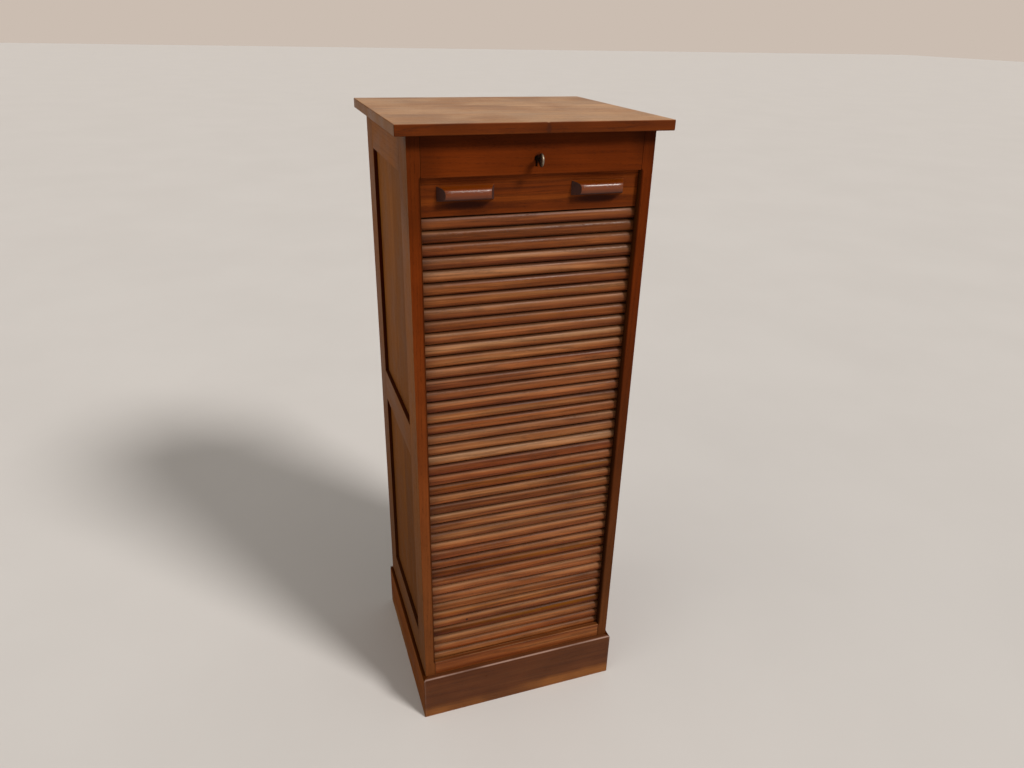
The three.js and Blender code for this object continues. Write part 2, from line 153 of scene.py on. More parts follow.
# Relief: a board's slow ripple, its grain, the metal's scratches, the canvas's weave and the floor's specks
RIPPLE_DEPTH = 0.7 * MM
GRAIN_DEPTH = 0.12 * MM
SCRATCH_DEPTH = 0.05 * MM
WEAVE_DEPTH = 0.25 * MM
SPECK_DEPTH = 0.3 * MM

# What open pores and dirt add to a wood's roughness
PORE_ROUGHNESS = 0.18
DIRT_ROUGHNESS = 0.4

# Between these heights the lighter colour painted as light near the floor goes out, and the painted shade on
# faces that look sideways lifts to full brightness
FLOOR_LIGHT_HEIGHTS = (0.15, 1.0)
SIDE_SHADE_HEIGHTS = (0.1, 1.1)

# Noise in the metal: its scale, its detail and its roughness. The scratches run along Y.
STAINS = (160.0, 4.0, 0.6)
SCRATCHES = (2100.0, 2.0, 0.6)
SCRATCH_STRETCH = (1.0, 0.12, 1.0)
PITS = (1500.0, 2.0, 0.5)

# Where a stave lies in the log, along it, across it and outwards, and how far its seed ranges
LOG_SHIFT = ((-0.5, 0.5), (-0.04, 0.04), (0.02, 0.07))
SEED_REACH = 60

# How a stave's tone changes its brightness, its green and its blue, and its warmth the last two
TONE_LIGHT = 0.34
TONE_GREEN = 0.14
TONE_BLUE = 0.6
WARMTH_GREEN = 0.18
WARMTH_BLUE = 0.25

# A scuffed band over the floor: its lower and upper limit, and how ragged it is
SCUFFED_BAND = (2 * MM, 24 * MM)
SCUFFED_WAVER = 20 * MM

# The shares of red, green and blue that a clean, unshaded place keeps, and what full dirt and painted shade
# take from them
ALL_OF_IT = (1.0, 1.0, 1.0)
DIRT_AND_SHADE_TAKES = (-0.8, -0.87, -0.93)

# How dark some places get, from 0 to 1: dirt and painted shade in the gaps, on a side plinth's ledge, on the
# stiles and on a pull's ends, painted shade at a pull's foot, and a darker tone on rounded corners. Deep in
# the stiles' grooves it is more by the last of these.
GAP_DIRT_AND_SHADE = 0.8
CORNER_DARKENING = 0.75
LEDGE_DIRT_AND_SHADE = 0.9
STILE_DIRT_AND_SHADE = 0.85
PULL_END_DIRT_AND_SHADE = 0.96
PULL_FOOT_SHADE = 0.5
DEEP_DIRT_AND_SHADE = 0.16

# The part of a face's normal along an axis from which it counts as looking that way
LOOKS = 0.7

# Dirt and painted shade on the front stiles' inner faces: how far from the middle they are, and where it gets
# deeper
GROOVE_SIDE = 184.4 * MM
GROOVE_DIRT_AND_SHADE = (-172 * MM, -163 * MM)

# Small marks: a stain and a chip in the top board's front edge, hand dirt with the key's painted shadow over
# the keyhole, a knot in a slat
EDGE_STAIN = (10 * MM, -194.5 * MM, 1190 * MM)
EDGE_CHIP = (9 * MM, -194 * MM, 1200 * MM)
KEYHOLE_DIRT_AND_SHADOW = (3 * MM, -172.5 * MM, 1143 * MM)
KNOT = (-113 * MM, 0.0, 226 * MM)

# Darker places low on the front stiles, over the floor, and how far under the pulls the painted shadows lie
LOW_ON_LEFT = 130 * MM
LOW_ON_RIGHT = 300 * MM
PULL_SHADOW_DROP = 6.5 * MM

# Shutter slats
SLATS_PER_SECTION = 5
SLAT_GAP = 0.8 * MM
SLAT_CROWN = 7 * MM
SLAT_DEPTH = 10 * MM
SLAT_LIP = 1.8 * MM
SLAT_STATIONS = 30
CROWN_STEPS = 20
SLAT_SEED = 11

# What differs between slats: their lean, twist, bow, sway and height, their tone and their warmth
SLAT_LEAN = 0.03
SLAT_TWIST = 0.035
SLAT_BOW = 0.15 * MM
SLAT_SWAY = 0.12 * MM
SLAT_SHRINK = 0.9 * MM
SLAT_TONES = (-0.4, 0.45)
SLAT_WARMTHS = (-0.5, 0.5)

# Dirt and painted shade at a slat's ends, a dark and a faint one: how deep each is, where it begins to go out
# and is gone
END_DIRT_AND_SHADE = ((0.85, 8 * MM, 17 * MM), (0.3, 8 * MM, 45 * MM))

# Dirt and painted shade in the groove under a slat and in the one over it, by the level up the slat: -1 is
# its foot, 1 its top. Then the share of it in the groove over a slat, and the least that any slat has.
FOOT_LEVELS = (0.4, 0.97)
HEAD_LEVELS = (0.6, 0.95)
HEAD_DIRT_AND_SHADE = 0.9
LEAST_DIRT_AND_SHADE = 0.7

# Two colours that multiply a slat's own: painted shade where it looks down, and a painted sheen where it
# looks up
SLAT_SHEEN_AND_SHADE = ((0.92, 0.7, 0.46, 1.0), (1.02, 1.2, 1.6, 1.0))

# Over these heights the grooves between the slats get darker, with dirt and painted shade, and the slats
# lighter. The lowest have this share of that darkness, and a tone that is darker by this.
DARKER_GROOVE_HEIGHTS = (150 * MM, 800 * MM)
DARKER_SLATS = (100 * MM, 750 * MM)
LEAST_GROOVE_DARKNESS = 0.68
DARKEST = 0.45

# Slats of their own shade, counted from 0 at the top: tone and warmth
ODD_SLATS = {
    7: (0.4, 0.5), 10: (0.3, 0.6), 13: (0.45, 0.4), 18: (0.8, 0.8), 20: (0.9, 1.1), 23: (-0.75, -0.3),
    26: (0.4, 0.7), 28: (0.5, 0.9), 32: (-0.9, -0.4), 37: (-0.25, -0.3), 38: (0.25, 0.0),
    39: (-1.0, -0.6), 40: (0.35, 0.4),
}

# Finger pulls. The outline goes round the front, in shares of the depth from the rail and of the height.
PULL_OUTLINE = [
    (0.0, 1.0), (0.3, 0.99), (0.58, 0.95), (0.8, 0.88), (0.94, 0.78), (1.0, 0.6), (1.0, 0.45),
    (0.95, 0.27), (0.84, 0.16), (0.66, 0.14), (0.46, 0.14), (0.22, 0.05), (0.0, 0.0),
]
PULL_ROUNDS = 2
PULL_SLOPE = 10 * MM
PULL_STATIONS = 24
PULL_TAPER = 0.05
PULL_TAPERS_FROM = 0.8
PULL_ARRIS = 0.9 * MM

# Canvas behind the slats
CANVAS_THICKNESS = 0.9 * MM
CANVAS_HALF_WIDTH = 188 * MM
CANVAS_STEP = 7.2 * MM
CANVAS_COLUMNS = 24
CANVAS_RIPPLE = 0.05 * MM

# Key: its bow, a ring of flattened round section, and where along Y its tarnish begins and is full. Over the
# rear half of the bow this darkening is painted shade as well as tarnish.
KEY_BOW_LENGTH = 18 * MM
KEY_BOW_HEIGHT = 20.5 * MM
KEY_RIM = 5.6 * MM
KEY_THICKNESS = 3.4 * MM
BOW_SIDES = 48
BOW_SECTION_STEPS = 16
KEY_TARNISH_AND_SHADE = (-198 * MM, -193 * MM)

# Its shank and collar, as places behind the bow and radii, then its tip, as places before the end and radii
KEY_SHANK = [
    (-1.6 * MM, 0.9 * MM), (-0.4 * MM, 1.5 * MM), (0.7 * MM, 2.2 * MM), (1.5 * MM, 2.6 * MM),
    (1.6 * MM, 3.6 * MM), (2.0 * MM, 3.95 * MM), (3.5 * MM, 3.95 * MM), (3.9 * MM, 3.6 * MM),
    (4.0 * MM, 2.75 * MM),
]
KEY_TIP = [(1.2 * MM, 2.75 * MM), (0.3 * MM, 2.4 * MM), (0.0, 1.8 * MM)]
SHANK_SIDES = 32
KEY_ARRIS = 0.15 * MM

# Its bit, with a ward cut in its lower edge
KEY_BIT = (-159.7 * MM, -157.2 * MM)
KEY_BIT_REACH = 10.5 * MM
KEY_BIT_WIDTH = 2.4 * MM
WARD_SIDE = 0.3
WARD_RISE = 0.35


def screen(red, green, blue):
    """A colour as a screen shows it, 0 to 255, in linear values."""

    def channel(value):
        share = value / 255
        return share / 12.92 if share <= 0.04045 else ((share + 0.055) / 1.055) ** 2.4

    return (channel(red), channel(green), channel(blue), 1.0)


def screens(*colours):
    """Several colours at once."""
    return tuple(screen(*colour) for colour in colours)


def fade(value, low, high):
    """0 below low, 1 above high, and smooth between them."""
    share = min(1.0, max(0.0, (value - low) / (high - low)))
    return share * share * (3 - 2 * share)


class Graph:
    """The shader nodes of one material or world, made and linked by short calls."""

    def __init__(self, owner):
        self.owner = owner
        owner.use_nodes = True
        self.tree = owner.node_tree
        self.tree.nodes.clear()

    def node(self, kind, inputs, **settings):
        """One node, whose inputs are linked where they are given as sockets, and set where they aren't."""
        made = self.tree.nodes.new("ShaderNode" + kind)
        for key, value in settings.items():
            setattr(made, key, value)
        for key, value in inputs.items():
            if isinstance(value, bpy.types.NodeSocket):
                self.tree.links.new(value, made.inputs[key])
            else:
                made.inputs[key].default_value = value
        return made

    def math(self, operation, *values, clamp=False):
        inputs = dict(enumerate(values))
        return self.node("Math", inputs, operation=operation, use_clamp=clamp).outputs[0]

    def vector(self, operation, *values):
        inputs = dict(enumerate(values))
        return self.node("VectorMath", inputs, operation=operation).outputs[0]

    def scaled(self, colour, factor):
        """A colour times a factor."""
        if isinstance(colour, tuple):
            colour = colour[:3]
        inputs = {"Vector": colour, "Scale": factor}
        return self.node("VectorMath", inputs, operation="SCALE").outputs[0]

    def split(self, vector):
        """The three sockets of a vector's X, Y and Z."""
        return self.node("SeparateXYZ", {0: vector}).outputs

    def place(self):
        """The point on the object, in its own coordinates."""
        return self.node("TexCoord", {}).outputs["Object"]

    def reach(self, place, centre, squeeze):
        """How far a place is from a centre, after each axis is squeezed."""
        apart = self.vector("MULTIPLY", self.vector("SUBTRACT", place, centre), squeeze)
        return self.node("VectorMath", {0: apart}, operation="LENGTH").outputs["Value"]

    def attribute(self, name, output="Fac"):
        return self.node("Attribute", {}, attribute_name=name).outputs[output]

    def noise(self, place, scale, detail, roughness):
        inputs = {"Vector": place, "Scale": scale, "Detail": detail, "Roughness": roughness}
        return self.node("TexNoise", inputs).outputs["Fac"]

    def ranged(self, value, low, high, to_low=0.0, to_high=1.0):
        """Goes smoothly from to_low to to_high while the value goes from low to high."""
        inputs = {0: value, 1: low, 2: high, 3: to_low, 4: to_high}
        return self.node("MapRange", inputs, interpolation_type="SMOOTHSTEP").outputs[0]

    def ramp(self, factor, stops):
        made = self.node("ValToRGB", {"Fac": factor})
        elements = made.color_ramp.elements
        for index, (place, colour) in enumerate(stops):
            element = elements[index] if index < len(elements) else elements.new(place)
            element.position = place
            element.color = colour
        return made.outputs["Color"]

    def mix(self, factor, first, second):
        inputs = {"Factor": factor, 6: first, 7: second}
        return self.node("Mix", inputs, data_type="RGBA").outputs[2]

    def bump(self, height, distance, strength, normal=None):
        inputs = {"Height": height, "Distance": distance, "Strength": strength}
        if normal is not None:
            inputs["Normal"] = normal
        return self.node("Bump", inputs).outputs["Normal"]

    def surface(self, **inputs):
        """Ends the graph with one Principled shader. Words in a name are joined by _."""
        named = {key.replace("_", " "): value for key, value in inputs.items()}
        shader = self.node("BsdfPrincipled", named)
        self.node("OutputMaterial", {"Surface": shader.outputs[0]})
        return self.owner


# Every finish by its name. The functions that make them fill it.
finishes = {}


def wood(
    name, dark, middle, light, worn, *, roughness, gloss_level,
    figure=0.3, pore=0.5, contrast=1.0, rub_and_highlight=0.5, fading_and_sheen=None, side_sheen_and_shade=None, painted_floor_light=None, scuffed=None,
    sheen_and_shade_by_facing=None, patches=(), spots=(),
):
    """Stained wood. It reads the attributes that every board carries.

    On the faces that look up, two paler colours stand for fading and a painted sheen. On those that look
    sideways, another colour is a painted sheen, with painted shade that darkens it towards the floor. A
    lighter colour near the floor is painted light, and the scuffed colour just over the floor is wear. Two
    more colours multiply the wood's own: painted shade where it looks down, and a painted sheen where it
    looks up.
    Each patch has a centre, how it is squeezed along X, Y and Z, a radius, and how bright it leaves the wood:
    the patches paint shadow and light, and darken places. A spot has a colour in place of the last.
    """
    g = Graph(bpy.data.materials.new(name))
    grain = g.attribute("grain", "Vector")
    seed = g.attribute("seed", "Vector")
    tone = g.attribute("tone")
    warmth = g.attribute("warmth")
    grime = g.attribute("grime")
    place = g.place()
    height = g.split(place)[2]
    facing = g.split(g.node("NewGeometry", {}).outputs["Normal"])

    # Of a point's three distances from the board's faces, the middle one is that to the nearest arris
    from_middle = g.vector("ABSOLUTE", g.attribute("local", "Vector"))
    inset = g.split(g.vector("SUBTRACT", g.attribute("half", "Vector"), from_middle))
    far_pair = g.math("MAXIMUM", inset[1], inset[2])
    near_pair = g.math("MINIMUM", inset[1], inset[2])
    to_arris = g.math("MAXIMUM", near_pair, g.math("MINIMUM", far_pair, inset[0]))
    exposed = g.ranged(facing[2], 0.0, 0.5, RUBBED_ELSEWHERE, 1.0)
    wear = g.math("MULTIPLY", g.ranged(to_arris, RUBBED_CORE, RUBBED_RIM, 1.0, 0.0), exposed)

    def streaks(along, across, detail, rough):
        stretched = g.vector("MULTIPLY_ADD", grain, (along, across, across), seed)
        return g.noise(stretched, 1.0, detail, rough)

    broad = streaks(*BROAD)
    fine = streaks(*FINE)
    clouds = streaks(*CLOUDS)
    pores = streaks(*PORES)

    turned = g.node("Mapping", {"Vector": grain, "Rotation": RING_TURN, "Scale": RING_STRETCH}).outputs[0]
    rings = g.node(
        "TexWave",
        {
            "Vector": turned,
            "Scale": RING_SCALE,
            "Distortion": RING_WAVER,
            "Detail": 3.0,
            "Detail Scale": 0.9,
            "Detail Roughness": 0.6,
        },
        wave_type="RINGS",
        rings_direction="X",
        wave_profile="SIN",
    ).outputs["Fac"]
    early = g.ranged(rings, *EARLY_WOOD)
    open_pores = g.math("MULTIPLY", g.ranged(pores, *OPEN_PORES), g.ranged(early, 0.0, 1.0, LATE_PORES, 1.0))

    spread = 0.2 / contrast
    colour = g.ramp(broad, [(0.5 - spread, dark), (0.5, middle), (0.5 + spread, light)])
    shade = g.math("MULTIPLY_ADD", early, -figure, 1.0)
    shade = g.math("MULTIPLY", shade, g.ranged(fine, 0.2, 0.8, 1 - 0.2 * contrast, 1 + 0.18 * contrast))
    shade = g.math("MULTIPLY", shade, g.math("MULTIPLY_ADD", open_pores, -pore, 1.0))
    shade = g.math("MULTIPLY", shade, g.math("MULTIPLY_ADD", tone, TONE_LIGHT, 1.0))
    shade = g.math("MULTIPLY", shade, g.ranged(clouds, 0.25, 0.75, 0.86, 1.12))
    green = g.math("MULTIPLY_ADD", tone, TONE_GREEN, g.math("MULTIPLY_ADD", warmth, WARMTH_GREEN, 1.0))
    blue = g.math("MULTIPLY_ADD", tone, TONE_BLUE, g.math("MULTIPLY_ADD", warmth, WARMTH_BLUE, 1.0))
    cast = g.node("CombineXYZ", {0: 1.0, 1: green, 2: blue}).outputs[0]
    colour = g.vector("MULTIPLY", g.scaled(colour, shade), cast)

    wear_and_highlight = g.math("MULTIPLY", wear, g.ranged(clouds, *RUBBED_CLOUDS, 0.3 * rub_and_highlight, rub_and_highlight))
    colour = g.mix(wear_and_highlight, colour, worn)
    if painted_floor_light:
        colour = g.mix(g.ranged(height, *FLOOR_LIGHT_HEIGHTS, 0.7, 0.0), colour, g.scaled(painted_floor_light, shade))
    if side_sheen_and_shade:
        sideways = g.math("ABSOLUTE", facing[0])
        painted_side_shade = g.math("MULTIPLY", shade, g.ranged(height, *SIDE_SHADE_HEIGHTS, 0.6, 1.0))
        colour = g.mix(g.ranged(sideways, 0.6, 0.95, 0.0, 0.8), colour, g.scaled(side_sheen_and_shade, painted_side_shade))
    if fading_and_sheen:
        blotch = g.ranged(g.noise(grain, 9.0, 3.0, 0.55), 0.35, 0.65)
        paler_top = g.scaled(g.mix(blotch, fading_and_sheen[0], fading_and_sheen[1]), shade)
        colour = g.mix(g.ranged(facing[2], 0.6, 0.95), colour, paler_top)
    if scuffed:
        ragged = g.math("MULTIPLY_ADD", g.noise(place, 14.0, 4.0, 0.6), -SCUFFED_WAVER, height)
        low_band = g.ranged(ragged, *SCUFFED_BAND, 0.85, 0.0)
        broken = g.ranged(g.noise(place, 7.0, 1.0, 0.5), 0.4, 0.56, 0.3, 1.0)
        colour = g.mix(g.math("MULTIPLY", low_band, broken), colour, g.scaled(scuffed, shade))
    if sheen_and_shade_by_facing:
        colour = g.vector("MULTIPLY", colour, g.mix(g.ranged(facing[2], -0.6, 0.6), *sheen_and_shade_by_facing))
    for centre, squeeze, radius, share in patches:
        reach = g.reach(place, centre, squeeze)
        colour = g.scaled(colour, g.ranged(reach, 0.4 * radius, radius, share, 1.0))
    for centre, squeeze, radius, mark in spots:
        reach = g.reach(place, centre, squeeze)
        ragged = g.math("MULTIPLY_ADD", g.noise(place, 600.0, 2.0, 0.5), 0.6 * radius, reach)
        colour = g.mix(g.ranged(ragged, 0.7 * radius, 1.5 * radius, 1.0, 0.0), colour, mark)
    colour = g.vector("MULTIPLY", colour, g.vector("MULTIPLY_ADD", grime, DIRT_AND_SHADE_TAKES, ALL_OF_IT))

    gloss = g.ranged(clouds, 0.25, 0.75, roughness - 0.06, roughness + 0.1)
    gloss = g.math("MULTIPLY_ADD", open_pores, PORE_ROUGHNESS, gloss)
    gloss = g.math("MULTIPLY_ADD", g.math("MAXIMUM", wear_and_highlight, grime), DIRT_ROUGHNESS, gloss, clamp=True)

    ripple = g.bump(g.noise(grain, 34.0, 2.0, 0.5), RIPPLE_DEPTH, 0.5)
    relief = g.math("MULTIPLY_ADD", open_pores, -0.8, g.math("MULTIPLY", fine, 0.35))
    finishes[name] = g.surface(
        Base_Color=colour,
        Roughness=gloss,
        Normal=g.bump(relief, GRAIN_DEPTH, 0.8, ripple),
        Specular_IOR_Level=gloss_level,
    )


def metal(name, colour, stained, roughness, tarnish_and_shade=None):
    """Dull metal with fine scratches and stains.

    Tarnish is two places along Y. It darkens and dulls the metal from the first to the second, and beyond. On
    the key this is tarnish on the shank and painted shade on the bow's rear half.
    """
    g = Graph(bpy.data.materials.new(name))
    place = g.place()
    stains = g.noise(place, *STAINS)
    scratches = g.noise(g.vector("MULTIPLY", place, SCRATCH_STRETCH), *SCRATCHES)
    pits = g.noise(place, *PITS)
    marked = g.ranged(stains, 0.42, 0.68)
    dulled = g.math("MULTIPLY", marked, 0.15)
    if tarnish_and_shade:
        dark = g.ranged(g.split(place)[1], *tarnish_and_shade)
        colour = g.mix(dark, colour, screen(36, 26, 20))
        stained = g.mix(dark, stained, screen(26, 18, 13))
        dulled = g.math("MULTIPLY_ADD", dark, 0.25, dulled)
    finishes[name] = g.surface(
        Base_Color=g.mix(marked, colour, stained),
        Metallic=1.0,
        Roughness=g.math("ADD", g.ranged(scratches, 0.3, 0.7, roughness - 0.06, roughness + 0.08), dulled),
        Normal=g.bump(g.math("MULTIPLY_ADD", scratches, 0.6, pits), SCRATCH_DEPTH, 0.5),
    )


def canvas_cloth():
    """Woven canvas, brown with old glue."""
    g = Graph(bpy.data.materials.new("canvas_cloth"))
    place = g.place()

    def threads(direction):
        return g.node(
            "TexWave",
            {"Vector": place, "Scale": 260.0, "Distortion": 1.2, "Detail": 1.0, "Detail Scale": 0.4},
            wave_type="BANDS",
            bands_direction=direction,
        ).outputs["Fac"]

    weave = g.math("MAXIMUM", threads("X"), threads("Z"))
    glue = g.ranged(g.noise(place, 22.0, 4.0, 0.6), 0.4, 0.65)
    thread = g.mix(glue, screen(120, 100, 74), screen(78, 54, 34))
    return g.surface(
        Base_Color=g.scaled(thread, g.ranged(weave, 0.1, 0.9, 0.65, 1.1)),
        Roughness=0.9,
        Normal=g.bump(weave, WEAVE_DEPTH, 0.7),
    )


def frame_shadow_and_darker_places():
    """Darker places on the frame's front: the top board's painted shadow along the rail's top, and darker
    places at the corners and low on the stiles.
    """
    rail_low, rail_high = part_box("front_top_rail")
    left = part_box("left_front_stile")[0]
    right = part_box("right_front_stile")[1]
    front = left.y
    return [
        ((0, front, rail_high.z), (0, 1, 1), 28 * MM, 0.66),
        ((left.x, front, rail_low.z), (1.8, 1, 1), 125 * MM, 0.7),
        ((left.x, front, LOW_ON_LEFT), (1, 1, 0.4), 120 * MM, 0.84),
        ((right.x, front, rail_high.z), (1, 1, 0.8), 55 * MM, 0.62),
        ((right.x, front, LOW_ON_RIGHT), (1, 1, 0.26), 170 * MM, 0.64),
    ]


def lead_rail_painted_light():
    """Painted light: a brighter band along the lead rail's top, in the front rail's shadow."""
    low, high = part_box("lead_rail")
    return [((0, low.y, high.z), (0, 1, 1), 12 * MM, 1.8)]


def painted_pull_shadows():
    """Painted shadows on the lead rail, one under each finger pull."""
    spots = []
    for node in ("left_pull", "right_pull"):
        low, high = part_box(node)
        centre = ((low.x + high.x) / 2, high.y, low.z - PULL_SHADOW_DROP)
        spots.append((centre, (0.12, 0.3, 0.8), 6 * MM, screen(54, 20, 8)))
    return spots


def make_finishes():
    """All finishes but the canvas and the floor. A wood's colours are dark, middle, light and worn."""
    # Faces that look sideways take this colour as a painted sheen, with painted shade towards the floor
    side_sheen_and_shade = screen(124, 75, 28)
    # The frame's lighter colour near the floor is painted light, its first patch the top board's painted
    # shadow, and its spot hand dirt with the key's painted shadow
    wood(
        "frame_oak", *screens((78, 28, 4), (98, 39, 6), (111, 49, 11), (128, 68, 32)),
        roughness=0.5, gloss_level=0.03, figure=0.05, contrast=0.5, side_sheen_and_shade=side_sheen_and_shade, painted_floor_light=screen(108, 64, 32),
        patches=frame_shadow_and_darker_places(),
        spots=[(KEYHOLE_DIRT_AND_SHADOW, (0.55, 0.3, 0.4), 3.8 * MM, screen(30, 9, 3))],
    )
    wood(
        "panel_oak", *screens((72, 30, 9), (94, 43, 13), (112, 56, 20), (128, 78, 46)),
        roughness=0.55, gloss_level=0.02, figure=0.12, contrast=0.7, side_sheen_and_shade=side_sheen_and_shade,
    )
    # The slats' two multiplying colours are painted shade below and a painted sheen above
    wood(
        "slat_oak", *screens((93, 42, 15), (125, 68, 30), (149, 94, 52), (158, 108, 64)),
        roughness=0.3, gloss_level=0.12, figure=0.22, contrast=1.15, rub_and_highlight=0.25, sheen_and_shade_by_facing=SLAT_SHEEN_AND_SHADE,
        spots=[(KNOT, (0.9, 0.0, 0.6), 2.2 * MM, screen(40, 16, 8))],
    )
    # The top board's paler top is fading and a painted sheen, and the colour of its ends a painted sheen
    wood(
        "top_oak", *screens((72, 28, 2), (92, 38, 4), (106, 50, 8), (128, 68, 32)),
        roughness=0.45, gloss_level=0.08, figure=0.16, contrast=0.6,
        fading_and_sheen=screens((153, 113, 82), (173, 134, 101)), side_sheen_and_shade=screen(122, 82, 44),
        spots=[
            (EDGE_STAIN, (0.3, 0.3, 0.15), 1.4 * MM, screen(66, 28, 8)),
            (EDGE_CHIP, (0.6, 1.0, 1.0), 1.3 * MM, screen(180, 140, 104)),
        ],
    )
    # The plinth's pale worn colour, rubbed in fully, also paints a highlight on its rounded top edge
    wood(
        "plinth_oak", *screens((66, 30, 11), (82, 44, 21), (94, 54, 28), (172, 142, 128)),
        roughness=0.32, gloss_level=0.1, figure=0.1, contrast=0.5, rub_and_highlight=1.0, scuffed=screen(128, 77, 34),
    )
    wood(
        "side_plinth_oak", *screens((86, 41, 4), (106, 53, 6), (118, 64, 14), (128, 84, 48)),
        roughness=0.5, gloss_level=0.02, figure=0.1, contrast=0.5, scuffed=screen(128, 84, 34),
    )
    wood(
        "handled_oak", *screens((86, 33, 0), (114, 51, 3), (130, 64, 10), (150, 88, 44)),
        roughness=0.3, gloss_level=0.42, figure=0.12, contrast=0.6,
    )
    # The lead rail's patch is painted light along its top, and its spots are painted shadows under the pulls
    wood(
        "streaky_oak", *screens((67, 27, 7), (98, 41, 7), (116, 55, 13), (128, 68, 32)),
        roughness=0.5, gloss_level=0.05, figure=0.24, contrast=0.8, patches=lead_rail_painted_light(),
        spots=painted_pull_shadows(),
    )
    wood(
        "inner_wood", *screens((116, 72, 36), (142, 96, 54), (160, 116, 70), (170, 132, 92)),
        roughness=0.6, gloss_level=0.2, pore=0.35,
    )
    wood(
        "plywood", *screens((120, 84, 52), (146, 108, 68), (166, 128, 84), (176, 142, 100)),
        roughness=0.62, gloss_level=0.2, figure=0.2, pore=0.3,
    )
    metal("lock_steel", *screens((128, 124, 118), (88, 72, 58)), 0.42)
    metal("brass", *screens((170, 136, 78), (104, 78, 44)), 0.36)
    # The key's tarnish also paints shade on the rear half of its bow
    metal("key_nickel", *screens((136, 124, 108), (84, 72, 56)), 0.42, tarnish_and_shade=KEY_TARNISH_AND_SHADE)


def cut_across(bm, axis, place):
    """Cuts a mesh's faces at a place along an axis, and gives the new corners and edges."""
    normal = Vector((0, 0, 0))
    normal[axis] = 1
    geom = bm.verts[:] + bm.edges[:] + bm.faces[:]
    cut = bmesh.ops.bisect_plane(bm, geom=geom, plane_co=normal * place, plane_no=normal)
    return cut["geom_cut"]


def round_edges(bm, edges, radius, steps, clamp=True):
    """Rounds some of a mesh's edges by a radius."""
    bmesh.ops.bevel(
        bm, geom=edges, offset=radius, offset_type="OFFSET", segments=steps, profile=0.5,
        affect="EDGES", clamp_overlap=clamp,
    )


def loft(bm, rings, closed=False):
    """Faces between rings of corners, each with the next, and over both ends unless the row is closed."""
    faces = []
    if closed:
        rings = rings + rings[:1]
    else:
        faces = [bm.faces.new(rings[0]), bm.faces.new(reversed(rings[-1]))]
    count = len(rings[0])
    for first, second in zip(rings, rings[1:]):
        for index in range(count):
            after = (index + 1) % count
            faces.append(bm.faces.new((first[after], first[index], second[index], second[after])))
    return faces


def copy_of(node):
    """The CAD node's mesh as a BMesh of whole faces, in place of triangles.

    Faces are cut at X = 0 where the node has a keyhole, because a whole face can't have a hole in it.
    """
    bm = bmesh.new()
    bm.from_mesh(frame["nodes"][node].data)
    bmesh.ops.remove_doubles(bm, verts=bm.verts, dist=WELD)
    if node in PIERCED:
        for item in cut_across(bm, AXES["x"], 0):
            if isinstance(item, bmesh.types.BMEdge):
                item.seam = True
    bmesh.ops.dissolve_limit(bm, angle_limit=FLAT_ANGLE, verts=bm.verts, edges=bm.edges, delimit={"SEAM"})
    return bm


def soften(bm, axis, along, across, shortest=0.0):
    """Rounds the sharp outer edges: those along the axis by one radius, and the rest by another."""

    def sharp_edges(lengthwise):
        found = []
        for edge in bm.edges:
            if not (edge.is_manifold and edge.is_convex and edge.calc_face_angle() > SHARP_ANGLE):
                continue
            if edge.calc_length() < shortest:
                continue
            run = (edge.verts[1].co - edge.verts[0].co).normalized()
            if (axis is not None and abs(run[axis]) > LENGTHWISE) == lengthwise:
                found.append(edge)
        return found

    for lengthwise, radius, steps in ((True, along, 3), (False, across, 2)):
        edges = sharp_edges(lengthwise)
        if radius and edges:
            round_edges(bm, edges, radius, steps)


def new_layers(bm):
    """The corner attributes that the wood materials read."""
    layers = {name: bm.loops.layers.float_vector.new(name) for name in ("grain", "seed", "local", "half")}
    layers.update({name: bm.loops.layers.float.new(name) for name in ("tone", "warmth", "grime")})
    return layers


def write_corner(loop, layers, **values):
    """Gives one corner its value in each attribute."""
    for name, value in values.items():
        loop[layers[name]] = value


def place_in_log(rng):
    """Where a stave's grain lies in the log, and the seed of its noise."""
    shift = Vector([rng.uniform(low, high) for low, high in LOG_SHIFT])
    seed = Vector([rng.uniform(-SEED_REACH, SEED_REACH) for _ in range(3)])
    return shift, seed


def new_stave(rng, tone, warmth, spread):
    """A stave's place in the log, with its seed, tone and warmth."""
    shift, seed = place_in_log(rng)
    own_tone = tone + spread * rng.uniform(-1, 1)
    own_warmth = warmth + spread * rng.uniform(-1, 1)
    return shift, seed, own_tone, own_warmth


def write_grain(bm, axis, rng, cuts=(), free_ends=False, tone=0.0, warmth=0.0, spread=0.3, grime=None):
    """Gives each corner its place in its own stave, and how far it lies from the board's arrises.

    Cuts are the joints between a board's staves, in shares of its width.
    """
    lows = [min(vert.co[i] for vert in bm.verts) for i in range(3)]
    highs = [max(vert.co[i] for vert in bm.verts) for i in range(3)]
    wide, deep = sorted((i for i in range(3) if i != axis), key=lambda i: lows[i] - highs[i])
    order = (axis, wide, deep)
    places = [lows[wide] + (highs[wide] - lows[wide]) * share for share in cuts]
    for place in places:
        cut_across(bm, wide, place)
    staves = [new_stave(rng, tone, warmth, spread) for _ in range(len(places) + 1)]
    layers = new_layers(bm)
    middle = Vector([(lows[i] + highs[i]) / 2 for i in order])
    half = Vector([(highs[i] - lows[i]) / 2 for i in order])
    if not free_ends:
        half.x += HIDDEN_END
    for face in bm.faces:
        at = face.calc_center_median()[wide]
        shift, seed, own_tone, own_warmth = staves[sum(at > place for place in places)]
        for loop in face.loops:
            co = loop.vert.co
            local = Vector([co[i] for i in order]) - middle
            write_corner(
                loop, layers, grain=local + shift, seed=seed, local=local, half=half, tone=own_tone,
                warmth=own_warmth, grime=grime(co, face.normal) if grime else 0.0,
            )


